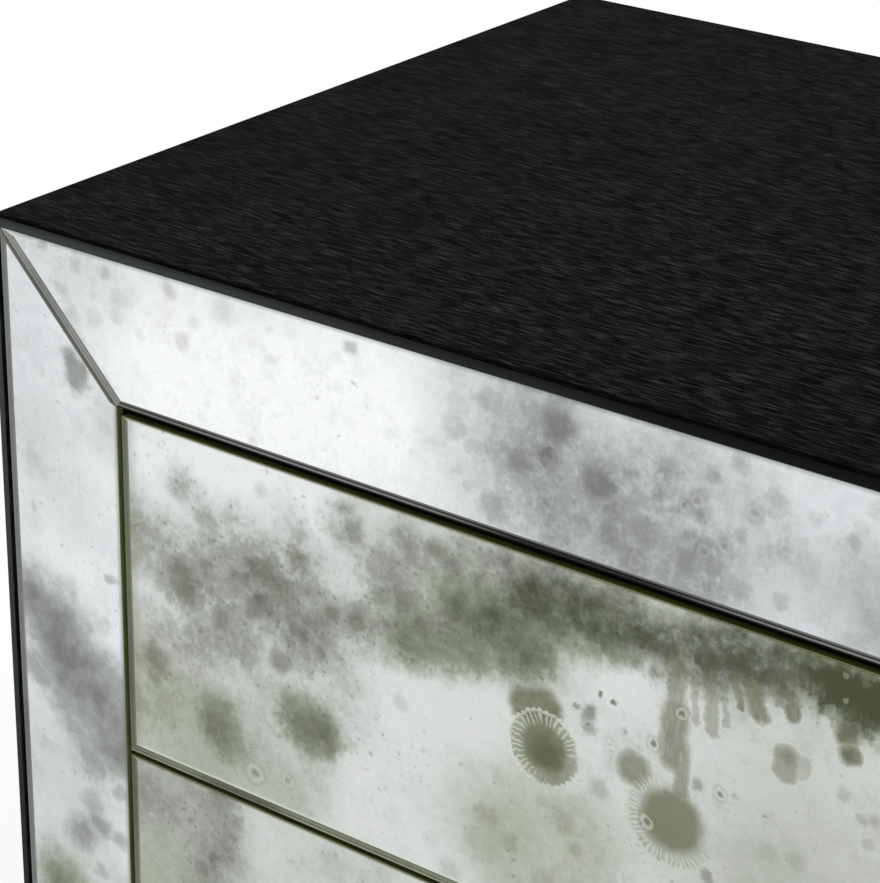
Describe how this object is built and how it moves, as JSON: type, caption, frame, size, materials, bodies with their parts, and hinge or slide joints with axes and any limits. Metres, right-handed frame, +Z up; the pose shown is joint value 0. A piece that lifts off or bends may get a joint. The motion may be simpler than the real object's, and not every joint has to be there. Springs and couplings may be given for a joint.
{
  "type": "mirrored nightstand",
  "caption": "Nightstand with bevelled antiqued-mirror drawer fronts in a mitred mirror frame, black brushed-oak case, recessed plinth and push-to-open drawers on telescopic runners.",
  "frame": {"origin": "on the floor below the middle of the case", "axes": "+X to the right seen from the front, +Y to the back (the drawers open towards -Y), +Z up"},
  "size_m": [0.66, 0.458, 0.6982],
  "materials": {
    "ebonised_oak": "wire-brushed oak, ebonised, satin",
    "antique_mirror": "antiqued silvered glass with bevelled edges",
    "black_board": "fibreboard, black satin lacquer",
    "case_timber": "plain planed softwood",
    "drawer_birch": "birch plywood, clear lacquer",
    "zinc_steel": "zinc-plated rolled steel",
    "bearing_steel": "pressed cage with polished balls",
    "screw_steel": "yellow-passivated steel screws",
    "black_plastic": "moulded nylon",
    "grey_plastic": "moulded acetal"
  },
  "bodies": {
    "case": {"back_panel": "black_board", "back_panel_screws": "screw_steel", "bottom_panel": "ebonised_oak", "bottom_rail_mirror": "antique_mirror", "divider_rails": "black_board", "drawer_1_case_runners": "zinc_steel", "drawer_2_case_runners": "zinc_steel", "drawer_3_case_runners": "zinc_steel", "face_frame_bottom_rail": "black_board", "face_frame_left_stile": "black_board", "face_frame_right_stile": "black_board", "face_frame_top_rail": "black_board", "floor_glides": "black_plastic", "latch_housings": "black_plastic", "left_side_panel": "ebonised_oak", "left_stile_mirror": "antique_mirror", "plinth_corner_blocks": "case_timber", "plinth_long_rails": "ebonised_oak", "plinth_short_rails": "ebonised_oak", "right_side_panel": "ebonised_oak", "right_stile_mirror": "antique_mirror", "runner_posts": "case_timber", "top_panel": "ebonised_oak", "top_rail_mirror": "antique_mirror"},
    "drawer_1": {"drawer_1_box_back": "drawer_birch", "drawer_1_box_bottom": "drawer_birch", "drawer_1_box_front": "drawer_birch", "drawer_1_box_runners": "zinc_steel", "drawer_1_box_sides": "drawer_birch", "drawer_1_front_panel": "black_board", "drawer_1_front_screws": "screw_steel", "drawer_1_mirror": "antique_mirror"},
    "drawer_1_middle_runner": {"drawer_1_middle_runners": "zinc_steel"},
    "drawer_1_case_cage": {"drawer_1_case_ball_cages": "bearing_steel"},
    "drawer_1_box_cage": {"drawer_1_box_ball_cages": "bearing_steel"},
    "drawer_1_latch": {"drawer_1_latch_plunger": "grey_plastic"},
    "drawer_2": {"drawer_2_box_back": "drawer_birch", "drawer_2_box_bottom": "drawer_birch", "drawer_2_box_front": "drawer_birch", "drawer_2_box_runners": "zinc_steel", "drawer_2_box_sides": "drawer_birch", "drawer_2_front_panel": "black_board", "drawer_2_front_screws": "screw_steel", "drawer_2_mirror": "antique_mirror"},
    "drawer_2_middle_runner": {"drawer_2_middle_runners": "zinc_steel"},
    "drawer_2_case_cage": {"drawer_2_case_ball_cages": "bearing_steel"},
    "drawer_2_box_cage": {"drawer_2_box_ball_cages": "bearing_steel"},
    "drawer_2_latch": {"drawer_2_latch_plunger": "grey_plastic"},
    "drawer_3": {"drawer_3_box_back": "drawer_birch", "drawer_3_box_bottom": "drawer_birch", "drawer_3_box_front": "drawer_birch", "drawer_3_box_runners": "zinc_steel", "drawer_3_box_sides": "drawer_birch", "drawer_3_front_panel": "black_board", "drawer_3_front_screws": "screw_steel", "drawer_3_mirror": "antique_mirror"},
    "drawer_3_middle_runner": {"drawer_3_middle_runners": "zinc_steel"},
    "drawer_3_case_cage": {"drawer_3_case_ball_cages": "bearing_steel"},
    "drawer_3_box_cage": {"drawer_3_box_ball_cages": "bearing_steel"},
    "drawer_3_latch": {"drawer_3_latch_plunger": "grey_plastic"}
  },
  "joints": [
    {"name": "drawer_1_slide", "type": "slide", "parent": "case", "child": "drawer_1", "axis": [0, -1, 0], "range_m": [-0.002, 0.35]},
    {"name": "drawer_1_middle_runner_slide", "type": "slide", "parent": "case", "child": "drawer_1_middle_runner", "axis": [0, -1, 0], "range_m": [-0.001, 0.175]},
    {"name": "drawer_1_case_cage_slide", "type": "slide", "parent": "case", "child": "drawer_1_case_cage", "axis": [0, -1, 0], "range_m": [-0.0005, 0.0875]},
    {"name": "drawer_1_box_cage_slide", "type": "slide", "parent": "case", "child": "drawer_1_box_cage", "axis": [0, -1, 0], "range_m": [-0.0015, 0.2625]},
    {"name": "drawer_1_latch_slide", "type": "slide", "parent": "case", "child": "drawer_1_latch", "axis": [0, -1, 0], "range_m": [-0.00011, 0.01925]},
    {"name": "drawer_2_slide", "type": "slide", "parent": "case", "child": "drawer_2", "axis": [0, -1, 0], "range_m": [-0.002, 0.35]},
    {"name": "drawer_2_middle_runner_slide", "type": "slide", "parent": "case", "child": "drawer_2_middle_runner", "axis": [0, -1, 0], "range_m": [-0.001, 0.175]},
    {"name": "drawer_2_case_cage_slide", "type": "slide", "parent": "case", "child": "drawer_2_case_cage", "axis": [0, -1, 0], "range_m": [-0.0005, 0.0875]},
    {"name": "drawer_2_box_cage_slide", "type": "slide", "parent": "case", "child": "drawer_2_box_cage", "axis": [0, -1, 0], "range_m": [-0.0015, 0.2625]},
    {"name": "drawer_2_latch_slide", "type": "slide", "parent": "case", "child": "drawer_2_latch", "axis": [0, -1, 0], "range_m": [-0.00011, 0.01925]},
    {"name": "drawer_3_slide", "type": "slide", "parent": "case", "child": "drawer_3", "axis": [0, -1, 0], "range_m": [-0.002, 0.35]},
    {"name": "drawer_3_middle_runner_slide", "type": "slide", "parent": "case", "child": "drawer_3_middle_runner", "axis": [0, -1, 0], "range_m": [-0.001, 0.175]},
    {"name": "drawer_3_case_cage_slide", "type": "slide", "parent": "case", "child": "drawer_3_case_cage", "axis": [0, -1, 0], "range_m": [-0.0005, 0.0875]},
    {"name": "drawer_3_box_cage_slide", "type": "slide", "parent": "case", "child": "drawer_3_box_cage", "axis": [0, -1, 0], "range_m": [-0.0015, 0.2625]},
    {"name": "drawer_3_latch_slide", "type": "slide", "parent": "case", "child": "drawer_3_latch", "axis": [0, -1, 0], "range_m": [-0.00011, 0.01925]}
  ],
  "couplings": [
    {"joint": "drawer_1_middle_runner_slide", "follows": "drawer_1_slide", "ratio": 0.5},
    {"joint": "drawer_1_case_cage_slide", "follows": "drawer_1_slide", "ratio": 0.25},
    {"joint": "drawer_1_box_cage_slide", "follows": "drawer_1_slide", "ratio": 0.75},
    {"joint": "drawer_1_latch_slide", "follows": "drawer_1_slide", "ratio": 0.055},
    {"joint": "drawer_2_middle_runner_slide", "follows": "drawer_2_slide", "ratio": 0.5},
    {"joint": "drawer_2_case_cage_slide", "follows": "drawer_2_slide", "ratio": 0.25},
    {"joint": "drawer_2_box_cage_slide", "follows": "drawer_2_slide", "ratio": 0.75},
    {"joint": "drawer_2_latch_slide", "follows": "drawer_2_slide", "ratio": 0.055},
    {"joint": "drawer_3_middle_runner_slide", "follows": "drawer_3_slide", "ratio": 0.5},
    {"joint": "drawer_3_case_cage_slide", "follows": "drawer_3_slide", "ratio": 0.25},
    {"joint": "drawer_3_box_cage_slide", "follows": "drawer_3_slide", "ratio": 0.75},
    {"joint": "drawer_3_latch_slide", "follows": "drawer_3_slide", "ratio": 0.055}
  ]
}
